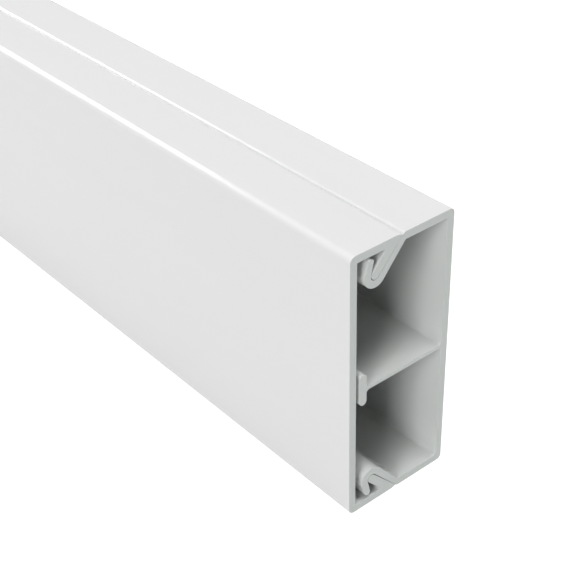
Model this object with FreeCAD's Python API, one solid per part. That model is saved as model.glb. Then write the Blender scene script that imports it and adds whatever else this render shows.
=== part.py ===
import FreeCAD, Part
import math
import os

# Cord cover raceway: a two-piece extruded PVC channel with a clip-on cover.
# X runs along the stock, -Y is the cover's front and +Y the wall side, +Z is up.
# The origin is at the middle of the underside. All sizes are in millimetres.

# Stock
raceway_length = 1000.0
raceway_height = 40.0
raceway_depth = 17.0
wall = 1.1

# Cover
seam_depth = 8.66            # from the cover's front face to the base's edge at the seam
cover_corner_radius = 0.95
cover_inner_radius = 0.15
prong_root_radius = 0.35
seam_gap = 0.02              # between the cover's edge and the base's, in the groove

# Groove that the seam lies in: the cover's edge slopes down to the base's
groove_depth = 0.26
groove_run = 0.75
seam_edge_radius = 0.2       # of the base's edge, beside the groove

# Clip hooks of the base, measured from the cover that they sit inside
finger_front_gap = 1.75      # from the cover's front wall to the finger's tip
finger_top_gap = 0.45        # from the cover's flange to the finger's tip
finger_radius = 0.45
finger_lean = 0.72           # from the hook's centre to the tip's centre, along Y
finger_rise = 2.0            # the same, along Z
hook_slot_radius = 0.72
hook_thickness = 1.04
arm_root_thickness = 0.88    # the arm thins a little towards the wall it hangs from
prong_gap = 0.1              # between the prong's round tip and the slot that holds it

# Divider web and its T-shaped head
web_height = 19.7            # from the underside to the web's middle
web_thickness = 0.55
head_thickness = 1.15
head_height = 4.75
head_front_gap = 0.62        # from the cover's front wall to the head
web_fillet = 0.45

# Base corners
base_corner_radius = 0.7
base_inner_radius = 0.5
arm_root_radius = 0.3

front = -raceway_depth / 2
back = raceway_depth / 2
mid_height = raceway_height / 2
inner_top = raceway_height - wall


def point(y, z):
    """A point of the section, which is drawn at the stock's lower-X end."""
    return FreeCAD.Vector(-raceway_length / 2, y, z)


def on_circle(centre, radius, angle):
    """The point of a circle of the section at an angle from +Y towards +Z."""
    return centre + point(radius * math.cos(angle), radius * math.sin(angle)) - point(0, 0)


def line(start, end):
    return Part.LineSegment(start, end).toShape()


def arc(centre, radius, start_angle, end_angle):
    """An arc of the section between two angles, in the direction of its angles."""
    ends = [on_circle(centre, radius, angle) for angle in (start_angle, end_angle)]
    middle = on_circle(centre, radius, (start_angle + end_angle) / 2)
    return Part.Arc(ends[0], middle, ends[1]).toShape()


def extruded(edges):
    """The solid that a closed loop of section edges makes along the whole length."""
    outline = Part.Wire(Part.__sortEdges__(edges))
    return Part.Face(outline).extrude(FreeCAD.Vector(raceway_length, 0, 0))


def closed_loop(points):
    return [line(a, b) for a, b in zip(points, points[1:] + points[:1])]


def with_both_sides(upper):
    """The upper half and its mirror image about mid-height."""
    lower = upper.mirror(point(0, mid_height), FreeCAD.Vector(0, 0, 1))
    return [upper, lower]


def rounded(solid, corners, radius):
    """Rounds the long edges that pass through the given corners of the section."""
    def is_wanted(edge):
        middle = edge.CenterOfMass
        along_x = edge.BoundBox.XLength > 0.9 * raceway_length
        return along_x and any(
            math.hypot(middle.y - y, middle.z - z) < 1e-4 for y, z in corners)

    wanted = [edge for edge in solid.Edges if is_wanted(edge)]
    assert len(wanted) == len(corners), f"{len(wanted)} edges for {len(corners)} corners"
    return solid.makeFillet(radius, wanted)


def both_heights(y, z):
    """A corner of the upper half and its mirror image."""
    return [(y, z), (y, raceway_height - z)]


# Clip geometry, shared by the hook and by the prong that it holds
finger_centre = point(
    front + wall + finger_front_gap + finger_radius,
    inner_top - finger_top_gap - finger_radius)
hook_centre = finger_centre + point(finger_lean, -finger_rise) - point(0, 0)
hook_outer_radius = hook_slot_radius + hook_thickness
seam_edge = point(front + seam_depth, raceway_height)


def direction(angle):
    return FreeCAD.Vector(0, math.cos(angle), math.sin(angle))


def touching_slope(start, radius):
    """The angle of the line that comes up from a circle about the hook's centre,
    which it touches on the wall side, to a point at the seam."""
    rise = start - hook_centre
    return math.atan2(rise.z, rise.y) + math.asin(radius / rise.Length)


def where_at_height(start, heading, z):
    """The point where a slanted line of the section reaches a height."""
    return start + heading * ((z - start.z) / heading.z)


# The base's edge at the seam and its arm's inner face are one slope, which touches the slot
seam_slope = touching_slope(seam_edge, hook_slot_radius)


def finger_sides():
    """The angles at which the finger's two sides leave the hook's circles."""
    to_finger = finger_centre - hook_centre
    heading = math.atan2(to_finger.z, to_finger.y)
    outer = heading + math.acos((hook_outer_radius - finger_radius) / to_finger.Length)
    inner = heading + math.acos((hook_slot_radius + finger_radius) / to_finger.Length)
    return outer, inner


def upper_hook_and_wall():
    """The base's upper wall, half of its back wall, its arm and its J-shaped hook."""
    outer_angle, inner_angle = finger_sides()
    slot_angle = seam_slope - math.pi / 2
    slot_start = on_circle(hook_centre, hook_slot_radius, slot_angle)
    root_line = on_circle(hook_centre, hook_slot_radius + arm_root_thickness, slot_angle)
    arm_root = where_at_height(root_line, direction(seam_slope), inner_top)
    arm_angle = touching_slope(arm_root, hook_outer_radius) - math.pi / 2
    arm_foot = on_circle(hook_centre, hook_outer_radius, arm_angle)
    full_turn = 2 * math.pi
    slot_end = on_circle(hook_centre, hook_slot_radius, inner_angle)
    finger_inner = on_circle(finger_centre, finger_radius, inner_angle - math.pi)
    finger_outer = on_circle(finger_centre, finger_radius, outer_angle)
    hook_outer = on_circle(hook_centre, hook_outer_radius, outer_angle)
    edges = [
        line(seam_edge, slot_start),
        arc(hook_centre, hook_slot_radius, slot_angle, inner_angle - full_turn),
        line(slot_end, finger_inner),
        arc(finger_centre, finger_radius, inner_angle - math.pi, outer_angle),
        line(finger_outer, hook_outer),
        arc(hook_centre, hook_outer_radius, arm_angle, outer_angle - full_turn),
        line(arm_foot, arm_root),
        line(arm_root, point(back - wall, inner_top)),
        line(point(back - wall, inner_top), point(back - wall, mid_height)),
        line(point(back - wall, mid_height), point(back, mid_height)),
        line(point(back, mid_height), point(back, raceway_height)),
        line(point(back, raceway_height), seam_edge),
    ]
    return extruded(edges), arm_root


def divider():
    """The web that splits the channel, with the head that backs the cover up."""
    head_front = front + wall + head_front_gap
    head_back = head_front + head_thickness
    web_bottom = web_height - web_thickness / 2
    web_top = web_height + web_thickness / 2
    web = extruded(closed_loop([
        point(head_back, web_bottom), point(back - wall / 2, web_bottom),
        point(back - wall / 2, web_top), point(head_back, web_top)]))
    end_radius = head_thickness / 2
    half_straight = head_height / 2 - end_radius
    lower_end = point(head_front + end_radius, web_height - half_straight)
    upper_end = point(head_front + end_radius, web_height + half_straight)
    head = extruded([
        arc(lower_end, end_radius, math.pi, 2 * math.pi),
        line(point(head_back, lower_end.z), point(head_back, upper_end.z)),
        arc(upper_end, end_radius, 0, math.pi),
        line(point(head_front, upper_end.z), point(head_front, lower_end.z)),
    ])
    web_corners = [(y, z) for y in (head_back, back - wall) for z in (web_bottom, web_top)]
    return head.fuse(web), web_corners


def base():
    """The channel that is fastened to the wall."""
    upper, arm_root = upper_hook_and_wall()
    web, web_corners = divider()
    channel = upper.multiFuse(with_both_sides(upper)[1:] + [web]).removeSplitter()
    channel = rounded(channel, web_corners, web_fillet)
    channel = rounded(channel, both_heights(back - wall, inner_top), base_inner_radius)
    channel = rounded(channel, both_heights(arm_root.y, arm_root.z), arm_root_radius)
    channel = rounded(channel, both_heights(seam_edge.y, seam_edge.z), seam_edge_radius)
    return rounded(channel, both_heights(back, raceway_height), base_corner_radius)


def upper_cover():
    """The upper half of the cover: front wall, flange and the prong under it."""
    tip_radius = hook_slot_radius - prong_gap
    groove_floor = where_at_height(
        seam_edge, direction(seam_slope), raceway_height - groove_depth)
    flange_end = groove_floor - FreeCAD.Vector(0, seam_gap, 0)
    groove_start = point(groove_floor.y - groove_run, raceway_height)
    prong_slope = touching_slope(flange_end, tip_radius)
    across_angle = prong_slope - math.pi / 2
    tip_back = on_circle(hook_centre, tip_radius, across_angle)
    tip_front = on_circle(hook_centre, tip_radius, across_angle - math.pi)
    prong_root = where_at_height(tip_front, direction(prong_slope), inner_top)
    edges = [
        line(point(front, mid_height), point(front, raceway_height)),
        line(point(front, raceway_height), groove_start),
        line(groove_start, flange_end),
        line(flange_end, tip_back),
        arc(hook_centre, tip_radius, across_angle, across_angle - math.pi),
        line(tip_front, prong_root),
        line(prong_root, point(front + wall, inner_top)),
        line(point(front + wall, inner_top), point(front + wall, mid_height)),
        line(point(front + wall, mid_height), point(front, mid_height)),
    ]
    return extruded(edges), prong_root


def cover():
    """The lid that clips over the base, held by a prong in each of its hooks."""
    upper, prong_root = upper_cover()
    lid = upper.fuse(with_both_sides(upper)[1]).removeSplitter()
    lid = rounded(lid, both_heights(front, raceway_height), cover_corner_radius)
    lid = rounded(lid, both_heights(front + wall, inner_top), cover_inner_radius)
    return rounded(lid, both_heights(prong_root.y, prong_root.z), prong_root_radius)


os.makedirs("parts", exist_ok=True)
for name, shape in (("base", base()), ("cover", cover())):
    solid = shape.Solids[0]
    assert len(shape.Solids) == 1 and solid.isValid(), name
    solid.exportStep(f"parts/{name}.step")
    box = solid.BoundBox
    print(name, "volume", round(solid.Volume), "mm3, box",
          round(box.XLength, 2), round(box.YLength, 2), round(box.ZLength, 2))
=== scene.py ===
"""Cord cover raceway: a white PVC channel with a clip-on cover, and its small studio.

Each of its two pieces has the same section all along. The section is drawn point by
point at the lower-X end and filled, the face is pulled out along X, and its corners
and cut ends are bevelled. -Y is the cover's front, +Y the wall side and +Z up.
"""

import math

import bmesh
import bpy
from bpy.props import FloatProperty, FloatVectorProperty, IntProperty, PointerProperty
from mathutils import Matrix, Vector


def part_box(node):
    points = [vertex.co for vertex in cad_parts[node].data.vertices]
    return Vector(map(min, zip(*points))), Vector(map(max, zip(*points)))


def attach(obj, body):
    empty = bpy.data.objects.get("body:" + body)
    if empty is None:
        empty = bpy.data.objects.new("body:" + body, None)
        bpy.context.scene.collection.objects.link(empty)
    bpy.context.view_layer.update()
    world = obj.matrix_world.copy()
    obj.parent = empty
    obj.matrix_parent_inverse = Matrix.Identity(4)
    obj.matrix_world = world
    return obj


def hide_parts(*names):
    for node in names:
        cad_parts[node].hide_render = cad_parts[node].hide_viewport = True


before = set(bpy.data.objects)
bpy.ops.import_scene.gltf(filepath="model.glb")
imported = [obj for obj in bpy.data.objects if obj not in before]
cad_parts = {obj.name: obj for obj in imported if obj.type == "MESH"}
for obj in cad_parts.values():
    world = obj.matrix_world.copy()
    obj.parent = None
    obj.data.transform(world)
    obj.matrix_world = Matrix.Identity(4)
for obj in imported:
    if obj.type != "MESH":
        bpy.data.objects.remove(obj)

bl_info = {
    "name": "Cord cover raceway",
    "version": (1, 0, 0),
    "blender": (4, 5, 0),
    "location": "3D View > Sidebar > Raceway",
    "description": "Builds a two-piece PVC raceway for cords and a small studio for it",
    "category": "Object",
}

MM = 0.001
FULL_TURN = 2 * math.pi
MERGE_DISTANCE = 1e-6
PLACE_TOLERANCE = 1e-6
SMOOTH_ANGLE = math.radians(25)    # faces that meet at less than this are shaded as one


def millimetres(name, value, description):
    """A length that is shown in the sidebar, from its value in millimetres."""
    return FloatProperty(
        name=name, description=description, default=value * MM, min=0,
        precision=5, unit="LENGTH", subtype="DISTANCE")


def packed_size():
    """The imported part's length, depth and height in millimetres."""
    boxes = [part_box(node) for node in ("base", "cover")]
    return [
        (max(box[1][axis] for box in boxes) - min(box[0][axis] for box in boxes)) / MM
        for axis in range(3)]


PACKED_LENGTH, PACKED_DEPTH, PACKED_HEIGHT = packed_size()


class RacewaySize(bpy.types.PropertyGroup):
    """The stock's outer size and what both pieces share."""

    length: millimetres("Length", PACKED_LENGTH, "Length of the stock along X")
    depth: millimetres("Depth", PACKED_DEPTH, "From the cover's front to the wall side")
    height: millimetres("Height", PACKED_HEIGHT, "Across the raceway's wide side")
    wall: millimetres("Wall", 1.1, "Thickness of the base's and the cover's walls")
    cut_edge: millimetres("Cut edge", 0.03, "Width of the worn edge round a sawn end")
    rings: IntProperty(
        name="Rings", description="Rows of faces along the length", default=40, min=1)
    arc_step: FloatProperty(
        name="Arc step", description="Angle that one face of a round corner turns through",
        default=math.radians(5), min=math.radians(1), max=math.radians(30),
        subtype="ANGLE")


class CoverShape(bpy.types.PropertyGroup):
    """The clip-on cover and the groove that its seam lies in."""

    seam_depth: millimetres("Seam depth", 8.66, "From the cover's front to the base's edge")
    corner_radius: millimetres("Corner radius", 0.95, "Outside of the front corners")
    inner_radius: millimetres("Inner radius", 0.15, "Inside of the front corners")
    prong_root_radius: millimetres("Prong root radius", 0.35, "Between flange and prong")
    prong_gap: millimetres("Prong gap", 0.1, "Between the prong's tip and its slot")
    seam_gap: millimetres("Seam gap", 0.02, "Between cover and base in the groove")
    groove_depth: millimetres("Groove depth", 0.26, "Depth of the groove at the seam")
    groove_run: millimetres("Groove run", 0.75, "Width of the slope down into the groove")


class BaseShape(bpy.types.PropertyGroup):
    """The base's corners."""

    corner_radius: millimetres("Corner radius", 0.7, "Outside of the back corners")
    inner_radius: millimetres("Inner radius", 0.5, "Inside of the back corners")
    seam_edge_radius: millimetres("Seam edge radius", 0.45, "Of the edge beside the seam")
    arm_root_radius: millimetres("Arm root radius", 0.3, "Where an arm leaves its wall")


class HookShape(bpy.types.PropertyGroup):
    """The J-shaped hooks that hold the cover's prongs."""

    finger_front_gap: millimetres("Finger front gap", 1.75, "From the cover to the finger")
    finger_top_gap: millimetres("Finger top gap", 0.45, "From the flange to the finger")
    finger_radius: millimetres("Finger radius", 0.45, "Half of the finger's thickness")
    finger_lean: millimetres("Finger lean", 0.72, "Hook centre to finger tip, along Y")
    finger_rise: millimetres("Finger rise", 2.0, "Hook centre to finger tip, along Z")
    slot_radius: millimetres("Slot radius", 0.72, "Inside of the hook's bend")
    thickness: millimetres("Thickness", 1.04, "Of the hook at its bend")
    root_thickness: millimetres("Root thickness", 0.88, "Of the arm at its wall")


class DividerShape(bpy.types.PropertyGroup):
    """The web that splits the channel in two ways, and its T-shaped head."""

    web_height: millimetres("Web height", 19.7, "From the underside to the web's middle")
    web_thickness: millimetres("Web thickness", 0.55, "Of the web")
    web_fillet: millimetres("Web fillet", 0.45, "In the corners beside the web")
    head_thickness: millimetres("Head thickness", 1.15, "Of the head, along Y")
    head_height: millimetres("Head height", 4.75, "Of the head, along Z")
    head_front_gap: millimetres("Head front gap", 0.62, "From the cover to the head")


class PvcFinish(bpy.types.PropertyGroup):
    """The look of the extruded skin, outside and inside, and of the sawn ends. The inside's
    and the ends' colours carry painted shade.
    """

    skin_color: FloatVectorProperty(
        name="Skin colour", description="The PVC's skin on the outside", subtype="COLOR",
        size=3, default=(0.68, 0.68, 0.68), min=0, max=1)
    # Darker and greener than the outside's skin of the same PVC: painted shade for the dim
    # cord ways, with a painted greenish cast of their light.
    inner_painted_shade_color: FloatVectorProperty(
        name="Inner colour", description="The PVC's skin in the cord ways", subtype="COLOR",
        size=3, default=(0.606, 0.622, 0.61), min=0, max=1)
    # The sawn PVC's own duller tone, darkened further with painted shade and tinted with a
    # painted greenish cast of the end's light.
    cut_tone_and_shade_color: FloatVectorProperty(
        name="Cut colour", description="The PVC where it is sawn", subtype="COLOR",
        size=3, default=(0.56, 0.588, 0.57), min=0, max=1)
    skin_roughness: FloatProperty(
        name="Skin roughness", description="Of the skin on the outside", default=0.15,
        min=0, max=1)
    inner_roughness: FloatProperty(
        name="Inner roughness", description="Of the skin in the cord ways", default=0.22,
        min=0, max=1)
    cut_roughness: FloatProperty(
        name="Cut roughness", description="Of a sawn end", default=0.55, min=0, max=1)
    # This margin also bounds the cord ways' painted shade.
    skin_margin: millimetres("Skin margin", 0.3, "How far in the outside's skin reaches")
    die_line_depth: millimetres("Die line depth", 0.004, "Of the streaks along the skin")
    saw_mark_depth: millimetres("Saw mark depth", 0.012, "Of the marks across a sawn end")


class StudioLook(bpy.types.PropertyGroup):
    """The photograph's camera, the floor and the light."""

    camera_place: FloatVectorProperty(
        name="Camera", description="Where the camera stands", size=3,
        subtype="TRANSLATION", unit="LENGTH", default=(0.58747, -0.08878, 0.11712))
    camera_turn: FloatVectorProperty(
        name="Camera turn", description="How the camera is turned", size=3,
        subtype="EULER",
        default=(math.radians(55.828), math.radians(1.472), math.radians(50.045)))
    lens: FloatProperty(
        name="Lens", description="Focal length for a sensor 36 mm wide, in millimetres",
        default=79.1, min=10)
    floor_color: FloatVectorProperty(
        name="Floor colour", description="The floor's milky sheet, without the light in it",
        subtype="COLOR", size=3, default=(0.3, 0.3, 0.3), min=0, max=1)
    floor_glow: FloatProperty(
        name="Floor glow", description="Light that comes evenly through the floor's sheet",
        default=0.62, min=0)
    floor_lift: FloatProperty(
        name="Floor lift", description="How much paler than that the camera sees the floor",
        default=0.2, min=0)
    room_gloss: FloatProperty(
        name="Room in the gloss", description="Brightness of the room that the gloss shows",
        default=0.7, min=0)


def settings():
    return bpy.context.scene.raceway


# Drawing a section

def on_circle(centre, radius, angle):
    """The point of a circle of the section, at an angle from +Y towards +Z."""
    return centre + radius * Vector((math.cos(angle), math.sin(angle)))


def angle_of(vector):
    return math.atan2(vector.y, vector.x)


def mirrored(point):
    """A point of the section, carried over mid-height."""
    return Vector((point.x, settings().size.height - point.y))


def both_heights(point):
    """A point of the upper half and its mirror image."""
    return [point, mirrored(point)]


def select(kind, wanted):
    """Selects the vertices, edges or faces that a test picks, and nothing else."""
    bpy.ops.mesh.select_mode(type=kind)
    bpy.ops.mesh.select_all(action="DESELECT")
    mesh = bpy.context.object.data
    drawing = bmesh.from_edit_mesh(mesh)
    items = {"VERT": drawing.verts, "EDGE": drawing.edges, "FACE": drawing.faces}[kind]
    picked = [item for item in items if wanted(item)]
    if not picked:
        raise RuntimeError(f"nothing to select on {mesh.name}")
    for item in picked:
        item.select_set(True)
    drawing.select_flush_mode()
    bmesh.update_edit_mesh(mesh)


def is_at(vertex, point):
    """Whether a vertex lies on the long line through a point of the section."""
    return (Vector(vertex.co.yz) - point).length < PLACE_TOLERANCE


class Pen:
    """Draws a section as a chain of edges, by pulling its last point along and round."""

    def __init__(self, name, start):
        self.x = -settings().size.length / 2
        self.at = start
        bpy.ops.object.select_all(action="DESELECT")
        bpy.ops.mesh.primitive_plane_add(size=MM)
        bpy.context.object.name = bpy.context.object.data.name = name
        bpy.ops.object.mode_set(mode="EDIT")
        bpy.ops.mesh.select_mode(type="VERT")
        bpy.ops.mesh.select_all(action="SELECT")
        bpy.ops.mesh.merge(type="CENTER")
        bpy.ops.transform.translate(value=(self.x, *start))

    def take(self, point):
        """Goes on from a point that is drawn already."""
        select("VERT", lambda vertex: is_at(vertex, point))
        self.at = point

    def line_to(self, *points):
        for point in points:
            step = point - self.at
            bpy.ops.mesh.extrude_region_move(
                TRANSFORM_OT_translate={"value": (0, step.x, step.y)})
            self.at = point

    def turn(self, centre, angle):
        """Turns round a centre, positive from +Y towards +Z. Spin counts the other way."""
        steps = max(2, round(abs(angle) / settings().size.arc_step))
        bpy.ops.mesh.spin(
            steps=steps, angle=-angle, center=(self.x, *centre), axis=(1, 0, 0))
        self.at = centre + Matrix.Rotation(angle, 2) @ (self.at - centre)

    def mirror_copy(self):
        """Adds the mirror image of the whole drawing about mid-height."""
        bpy.ops.mesh.select_all(action="SELECT")
        bpy.ops.mesh.duplicate()
        bpy.ops.transform.resize(
            value=(1, 1, -1), center_override=(0, 0, settings().size.height / 2))


# From the section to the finished piece

def fill_and_pull():
    """Closes the section to a face and pulls it out along the whole length."""
    size = settings().size
    bpy.ops.mesh.select_all(action="SELECT")
    bpy.ops.mesh.remove_doubles(threshold=MERGE_DISTANCE)
    bpy.ops.mesh.edge_face_add()
    for _ in range(size.rings):
        bpy.ops.mesh.extrude_region_move(
            TRANSFORM_OT_translate={"value": (size.length / size.rings, 0, 0)})


def round_corners(points, radius, corner=math.pi / 2):
    """Rounds the long edges through points of the section, where two faces meet at an
    angle."""
    select("EDGE", lambda edge: any(
        all(is_at(vertex, point) for vertex in edge.verts) for point in points))
    turned = math.pi - corner
    bpy.ops.mesh.bevel(
        offset=radius * math.tan(turned / 2), affect="EDGES", clamp_overlap=False,
        segments=max(3, round(turned / settings().size.arc_step)))


def bevel_cut_ends():
    """Takes the sharpness off the edges round both sawn ends."""
    size = settings().size

    def is_rim(edge):
        return len(edge.link_faces) == 2 and all(
            abs(vertex.co.x) > size.length / 2 - PLACE_TOLERANCE for vertex in edge.verts)

    select("EDGE", is_rim)
    bpy.ops.mesh.bevel(offset=size.cut_edge, affect="EDGES", segments=2, clamp_overlap=False)


def is_cut(face):
    """Whether a face belongs to a sawn end or to the edge round it."""
    size = settings().size
    return abs(face.calc_center_median().x) > size.length / 2 - size.cut_edge


def is_inner_shaded(face):
    """Whether a face belongs to the skin in the cord ways, which gets the darker colour of
    painted shade.
    """
    size, margin = settings().size, settings().finish.skin_margin
    _, depth, height = face.calc_center_median()
    return abs(depth) < size.depth / 2 - margin and margin < height < size.height - margin


def finish_piece(node):
    """Gives the drawn piece its finish and puts it in the place of its CAD node."""
    finish = settings().finish
    piece = bpy.context.object
    bpy.ops.mesh.select_all(action="SELECT")
    bpy.ops.mesh.normals_make_consistent(inside=False)
    piece.data.materials.append(
        extruded_skin(f"{node}_pvc_skin", finish.skin_color, finish.skin_roughness))
    # The cord ways' skin: its own roughness, and a darker colour that is painted shade.
    piece.data.materials.append(
        extruded_skin(f"{node}_pvc_inner_skin_painted_shade", finish.inner_painted_shade_color, finish.inner_roughness))
    piece.data.materials.append(sawn_end(f"{node}_pvc_sawn_and_shaded"))
    for slot, wanted in ((1, is_inner_shaded), (2, is_cut)):
        select("FACE", wanted)
        piece.active_material_index = slot
        bpy.ops.object.material_slot_assign()
    bpy.ops.object.mode_set(mode="OBJECT")
    bpy.ops.object.shade_smooth_by_angle(angle=SMOOTH_ANGLE)
    bpy.ops.object.modifier_add(type="WEIGHTED_NORMAL")
    piece.modifiers[-1].keep_sharp = True
    bpy.ops.object.modifier_apply(modifier=piece.modifiers[-1].name)
    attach(piece, "root")
    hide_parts(node)


# PVC

PVC_IOR = 1.5

# How many times a metre each noise changes, along X, Y and Z
FINE_LINES = (5, 2600, 2600)
BROAD_LINES = (9, 230, 230)
SLIGHT_WAVES = (45, 70, 70)
SAW_MARKS = (300, 260, 5200)
SAW_GRAIN = (2500, 2500, 2500)

# How far colour and roughness stray from their own values, to both sides
SKIN_COLOR_SPREAD = 0.012
SKIN_ROUGHNESS_SPREAD = 0.05
CUT_COLOR_SPREAD = 0.03
CUT_ROUGHNESS_SPREAD = 0.1

WAVES_TO_LINES = 8      # how much deeper the skin's waves are than its die lines
GRAIN_TO_MARKS = 0.5    # how deep the cut's grain is beside its saw marks


def add_node(tree, kind, **inputs):
    """Adds a node to a material or the world and sets or links its inputs, by their
    names."""
    node = tree.nodes.new(kind)
    for name, value in inputs.items():
        socket = node.inputs[name.replace("_", " ")]
        if isinstance(value, bpy.types.NodeSocket):
            tree.links.new(value, socket)
        else:
            socket.default_value = value
    return node


def new_material(name):
    """A material with its node tree and its shader."""
    material = bpy.data.materials.new(name)
    material.use_nodes = True
    return material, material.node_tree, material.node_tree.nodes["Principled BSDF"]


def streaks(tree, scale, detail):
    """Noise on the piece's own place, drawn out by a scale along each axis."""
    place = add_node(tree, "ShaderNodeTexCoord").outputs["Object"]
    mapped = add_node(tree, "ShaderNodeMapping", Vector=place, Scale=scale)
    noise = add_node(
        tree, "ShaderNodeTexNoise", Vector=mapped.outputs["Vector"], Scale=1, Detail=detail)
    return noise.outputs["Fac"]


def between(tree, value, low, high):
    """A value from 0 to 1, brought between two others."""
    node = add_node(tree, "ShaderNodeMapRange", Value=value, To_Min=low, To_Max=high)
    return node.outputs["Result"]


def around(tree, value, middle, spread):
    """A value from 0 to 1, brought to both sides of another."""
    return between(tree, value, middle - spread, middle + spread)


def shade_of(tree, value, color, spread):
    """A colour that is a little darker or lighter as a value goes from 0 to 1."""
    mix = tree.nodes.new("ShaderNodeMix")
    mix.data_type = "RGBA"
    tree.links.new(value, mix.inputs["Factor"])
    dark, light = (socket for socket in mix.inputs if socket.type == "RGBA")
    dark.default_value = (*[part * (1 - spread) for part in color], 1)
    light.default_value = (*[part * (1 + spread) for part in color], 1)
    return next(socket for socket in mix.outputs if socket.type == "RGBA")


def bump(tree, height, depth, **under):
    """A surface raised by a value from 0 to 1, on top of another where one is given."""
    node = add_node(
        tree, "ShaderNodeBump", Height=height, Strength=1, Distance=depth, **under)
    return node.outputs["Normal"]


def extruded_skin(name, color, roughness):
    """Smooth white PVC, with the faint streaks that the die leaves along it."""
    depth = settings().finish.die_line_depth
    material, tree, shader = new_material(name)
    fine = streaks(tree, FINE_LINES, detail=2)
    broad = streaks(tree, BROAD_LINES, detail=3)
    waves = streaks(tree, SLIGHT_WAVES, detail=1)
    tree.links.new(
        shade_of(tree, broad, color, SKIN_COLOR_SPREAD), shader.inputs["Base Color"])
    tree.links.new(
        around(tree, broad, roughness, SKIN_ROUGHNESS_SPREAD), shader.inputs["Roughness"])
    lined = bump(tree, fine, depth)
    waved = bump(tree, waves, depth * WAVES_TO_LINES, Normal=lined)
    tree.links.new(waved, shader.inputs["Normal"])
    shader.inputs["IOR"].default_value = PVC_IOR
    return material


def sawn_end(name):
    """PVC as the saw leaves it: duller, with fine marks across it. Its colour is partly the
    sawn PVC's own tone and partly painted shade with a painted greenish light cast.
    """
    finish = settings().finish
    material, tree, shader = new_material(name)
    marks = streaks(tree, SAW_MARKS, detail=2)
    grain = streaks(tree, SAW_GRAIN, detail=4)
    # The cut's colour: its sawn tone plus painted shade and a painted greenish cast.
    tree.links.new(
        shade_of(tree, grain, finish.cut_tone_and_shade_color, CUT_COLOR_SPREAD),
        shader.inputs["Base Color"])
    tree.links.new(
        around(tree, marks, finish.cut_roughness, CUT_ROUGHNESS_SPREAD),
        shader.inputs["Roughness"])
    sawn = bump(tree, marks, finish.saw_mark_depth)
    grained = bump(tree, grain, finish.saw_mark_depth * GRAIN_TO_MARKS, Normal=sawn)
    tree.links.new(grained, shader.inputs["Normal"])
    shader.inputs["IOR"].default_value = PVC_IOR
    return material


# The two pieces

class Clip:
    """The points that the upper hook and the prong in it share, as (y, z)."""

    def __init__(self):
        size, hook, cover = settings().size, settings().hook, settings().cover
        front = -size.depth / 2
        inner_top = size.height - size.wall
        self.finger = Vector((
            front + size.wall + hook.finger_front_gap + hook.finger_radius,
            inner_top - hook.finger_top_gap - hook.finger_radius))
        self.centre = self.finger + Vector((hook.finger_lean, -hook.finger_rise))
        self.seam_edge = Vector((front + cover.seam_depth, size.height))
        self.seam_slope = self.slope_to(self.seam_edge, hook.slot_radius)

    def slope_to(self, end, radius):
        """The angle of the line to a point from a circle about the hook's centre, which
        it touches on the wall side."""
        rise = end - self.centre
        return angle_of(rise) + math.asin(radius / rise.length)


def along_slope(start, slope, height):
    """The point where a slanted line reaches a height."""
    return start + Vector((1 / math.tan(slope), 1)) * (height - start.y)


def draw_hook(clip, inner_top):
    """Draws the base from the seam over the hook's slot and finger to the arm's root,
    and gives the pen and the root."""
    hook = settings().hook
    outer_radius = hook.slot_radius + hook.thickness
    slot_angle = clip.seam_slope - math.pi / 2
    root_line = on_circle(clip.centre, hook.slot_radius + hook.root_thickness, slot_angle)
    root = along_slope(root_line, clip.seam_slope, inner_top)
    arm_angle = clip.slope_to(root, outer_radius) - math.pi / 2
    to_finger = clip.finger - clip.centre
    heading, reach = angle_of(to_finger), to_finger.length
    outer = heading + math.acos((outer_radius - hook.finger_radius) / reach)
    inner = heading + math.acos((hook.slot_radius + hook.finger_radius) / reach)
    pen = Pen("raceway_base", clip.seam_edge)
    pen.line_to(on_circle(clip.centre, hook.slot_radius, slot_angle))
    pen.turn(clip.centre, inner - FULL_TURN - slot_angle)
    pen.line_to(on_circle(clip.finger, hook.finger_radius, inner - math.pi))
    pen.turn(clip.finger, outer - inner + math.pi)
    pen.line_to(on_circle(clip.centre, outer_radius, outer))
    pen.turn(clip.centre, arm_angle - outer + FULL_TURN)
    pen.line_to(root)
    return pen, root


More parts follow.
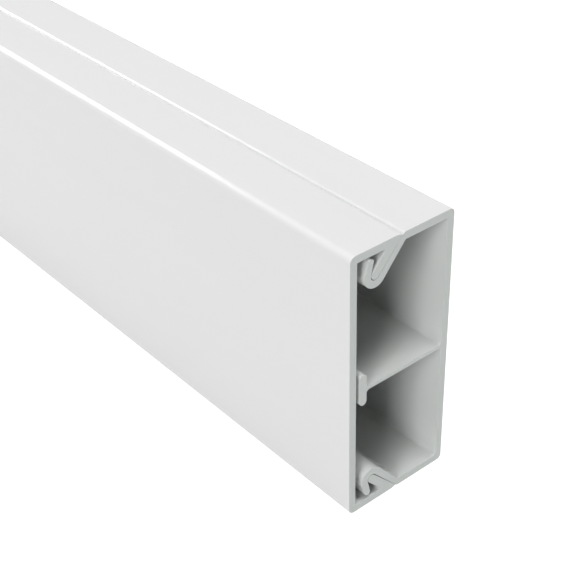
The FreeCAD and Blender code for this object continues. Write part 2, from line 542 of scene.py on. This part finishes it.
class RACEWAY_OT_base(bpy.types.Operator):
    """Models the channel with its hooks, its divider web and the web's T-shaped head"""

    bl_idname = "raceway.base"
    bl_label = "Base"
    bl_options = {"REGISTER", "UNDO"}

    def execute(self, context):
        size, corners, divider = settings().size, settings().base, settings().divider
        front, back = -size.depth / 2, size.depth / 2
        inner_back = back - size.wall
        clip = Clip()
        pen, root = draw_hook(clip, size.height - size.wall)
        inner_corner = Vector((inner_back, size.height - size.wall))
        pen.line_to(inner_corner)
        pen.mirror_copy()

        head_front = front + size.wall + divider.head_front_gap
        head_back = head_front + divider.head_thickness
        web_bottom = divider.web_height - divider.web_thickness / 2
        web_top = divider.web_height + divider.web_thickness / 2
        end_radius = divider.head_thickness / 2
        straight = divider.head_height / 2 - end_radius
        upper_end = Vector((head_front + end_radius, divider.web_height + straight))
        lower_end = Vector((head_front + end_radius, divider.web_height - straight))
        pen.take(inner_corner)
        pen.line_to(
            Vector((inner_back, web_top)), Vector((head_back, web_top)),
            Vector((head_back, upper_end.y)))
        pen.turn(upper_end, math.pi)
        pen.line_to(Vector((head_front, lower_end.y)))
        pen.turn(lower_end, math.pi)
        pen.line_to(
            Vector((head_back, web_bottom)), Vector((inner_back, web_bottom)),
            mirrored(inner_corner))
        back_corner = Vector((back, size.height))
        pen.take(mirrored(clip.seam_edge))
        pen.line_to(mirrored(back_corner), back_corner, clip.seam_edge)

        fill_and_pull()
        round_corners(both_heights(back_corner), corners.corner_radius)
        round_corners(
            both_heights(clip.seam_edge), corners.seam_edge_radius,
            math.pi - clip.seam_slope)
        round_corners(both_heights(inner_corner), corners.inner_radius)
        round_corners(
            both_heights(root), corners.arm_root_radius, clip.seam_slope + math.pi / 2)
        beside_web = [
            Vector((y, z)) for y in (head_back, inner_back) for z in (web_bottom, web_top)]
        round_corners(beside_web, divider.web_fillet)
        bevel_cut_ends()
        finish_piece("base")
        return {"FINISHED"}


class RACEWAY_OT_cover(bpy.types.Operator):
    """Models the clip-on cover with its flanges and the prongs that the hooks hold"""

    bl_idname = "raceway.cover"
    bl_label = "Cover"
    bl_options = {"REGISTER", "UNDO"}

    def execute(self, context):
        size, cover, hook = settings().size, settings().cover, settings().hook
        front, inner_top = -size.depth / 2, size.height - size.wall
        clip = Clip()
        tip_radius = hook.slot_radius - cover.prong_gap
        floor = along_slope(clip.seam_edge, clip.seam_slope, size.height - cover.groove_depth)
        flange_end = floor - Vector((cover.seam_gap, 0))
        prong_slope = clip.slope_to(flange_end, tip_radius)
        across = prong_slope - math.pi / 2
        tip_front = on_circle(clip.centre, tip_radius, across - math.pi)
        root = along_slope(tip_front, prong_slope, inner_top)
        front_corner = Vector((front, size.height))
        inner_corner = Vector((front + size.wall, inner_top))

        pen = Pen("raceway_cover", Vector((front, size.height / 2)))
        pen.line_to(
            front_corner, Vector((floor.x - cover.groove_run, size.height)), flange_end,
            on_circle(clip.centre, tip_radius, across))
        pen.turn(clip.centre, -math.pi)
        pen.line_to(root, inner_corner, Vector((front + size.wall, size.height / 2)))
        pen.mirror_copy()

        fill_and_pull()
        round_corners(both_heights(front_corner), cover.corner_radius)
        round_corners(both_heights(inner_corner), cover.inner_radius)
        round_corners(both_heights(root), cover.prong_root_radius, prong_slope)
        bevel_cut_ends()
        finish_piece("cover")
        return {"FINISHED"}


# Studio

WHITE = (1, 1, 1, 1)
FLOOR_SIDES = 96
FLOOR_ROUGHNESS = 0.9

# In metres, and the camera's sensor in millimetres
FLOOR_RADIUS = 12
SENSOR_WIDTH = 36
CLIP_START = 0.005

LIT_PLACE = Vector((0.45, 0, 0.03))
SOFTBOX_DISTANCE = 4.0
SOFTBOXES = (
    # name, degrees round from -Y towards +X, degrees up, width, height, watts
    ("left_box", -88, 31, 3.0, 1.8, 86),
    ("front_box", 24, 25, 1.4, 2.2, 103),
    ("overhead_box", 125, 79, 1.5, 1.3, 94),
    ("back_box", -172, 60, 2.3, 1.7, 30),
)


class RACEWAY_OT_studio(bpy.types.Operator):
    """Adds the pale floor, the soft light and the photograph's camera"""

    bl_idname = "raceway.studio"
    bl_label = "Studio"
    bl_options = {"REGISTER", "UNDO"}

    def execute(self, context):
        self.add_floor()
        for box in SOFTBOXES:
            self.add_softbox(*box)
        self.add_room(context.scene)
        self.add_camera(context.scene)
        context.scene.view_settings.view_transform = "Standard"
        return {"FINISHED"}

    def add_floor(self):
        studio = settings().studio
        bpy.ops.object.select_all(action="DESELECT")
        bpy.ops.mesh.primitive_circle_add(
            vertices=FLOOR_SIDES, radius=FLOOR_RADIUS, fill_type="NGON")
        floor = bpy.context.object
        floor.name = floor.data.name = "studio_floor"
        material, tree, shader = new_material("pale_floor")
        shader.inputs["Base Color"].default_value = (*studio.floor_color, 1)
        shader.inputs["Roughness"].default_value = FLOOR_ROUGHNESS
        shader.inputs["Emission Color"].default_value = WHITE
        seen = add_node(tree, "ShaderNodeLightPath").outputs["Is Camera Ray"]
        tree.links.new(
            between(tree, seen, studio.floor_glow, studio.floor_glow + studio.floor_lift),
            shader.inputs["Emission Strength"])
        floor.data.materials.append(material)

    def add_softbox(self, name, azimuth, elevation, width, height, watts):
        turn, rise = math.radians(azimuth), math.radians(elevation)
        level = math.cos(rise)
        away = Vector((math.sin(turn) * level, -math.cos(turn) * level, math.sin(rise)))
        bpy.ops.object.select_all(action="DESELECT")
        bpy.ops.object.light_add(
            type="AREA", location=LIT_PLACE + away * SOFTBOX_DISTANCE,
            rotation=(-away).to_track_quat("-Z", "Y").to_euler())
        lamp = bpy.context.object
        lamp.name = lamp.data.name = name
        lamp.data.shape = "RECTANGLE"
        lamp.data.size, lamp.data.size_y = width, height
        lamp.data.energy = watts

    def add_room(self, scene):
        """A white room, which the gloss shows darker and which gives no light itself."""
        scene.world = bpy.data.worlds.new("studio")
        scene.world.use_nodes = True
        tree = scene.world.node_tree
        ray = add_node(tree, "ShaderNodeLightPath").outputs
        mirrored_room = between(tree, ray["Is Glossy Ray"], 0, settings().studio.room_gloss)
        tree.links.new(
            between(tree, ray["Is Camera Ray"], mirrored_room, 1),
            tree.nodes["Background"].inputs["Strength"])
        tree.nodes["Background"].inputs["Color"].default_value = WHITE

    def add_camera(self, scene):
        studio = settings().studio
        bpy.ops.object.select_all(action="DESELECT")
        bpy.ops.object.camera_add(location=studio.camera_place, rotation=studio.camera_turn)
        scene.camera = bpy.context.object
        scene.camera.name = "photo_camera"
        scene.camera.data.lens = studio.lens
        scene.camera.data.sensor_width = SENSOR_WIDTH
        scene.camera.data.clip_start = CLIP_START


class RacewaySettings(bpy.types.PropertyGroup):
    """All that the sidebar shows."""

    size: PointerProperty(type=RacewaySize)
    cover: PointerProperty(type=CoverShape)
    base: PointerProperty(type=BaseShape)
    hook: PointerProperty(type=HookShape)
    divider: PointerProperty(type=DividerShape)
    finish: PointerProperty(type=PvcFinish)
    studio: PointerProperty(type=StudioLook)


OPERATORS = (RACEWAY_OT_base, RACEWAY_OT_cover, RACEWAY_OT_studio)


class RACEWAY_PT_sidebar(bpy.types.Panel):
    """The buttons that build the raceway and its studio, and all their values"""

    bl_idname = "RACEWAY_PT_sidebar"
    bl_label = "Cord cover raceway"
    bl_space_type = "VIEW_3D"
    bl_region_type = "UI"
    bl_category = "Raceway"

    def draw(self, context):
        for operator in OPERATORS:
            self.layout.operator(operator.bl_idname)
        for group in RacewaySettings.__annotations__:
            values = getattr(context.scene.raceway, group)
            box = self.layout.box()
            box.label(text=group.capitalize())
            for name in values.__annotations__:
                box.prop(values, name)


CLASSES = (
    RacewaySize, CoverShape, BaseShape, HookShape, DividerShape, PvcFinish, StudioLook,
    RacewaySettings, *OPERATORS, RACEWAY_PT_sidebar)


def register():
    for item in CLASSES:
        bpy.utils.register_class(item)
    bpy.types.Scene.raceway = PointerProperty(type=RacewaySettings)


def unregister():
    del bpy.types.Scene.raceway
    for item in reversed(CLASSES):
        bpy.utils.unregister_class(item)


def main():
    register()
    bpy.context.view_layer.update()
    bpy.ops.raceway.base()
    bpy.ops.raceway.cover()
    bpy.ops.raceway.studio()


if __name__ == "__main__":
    main()
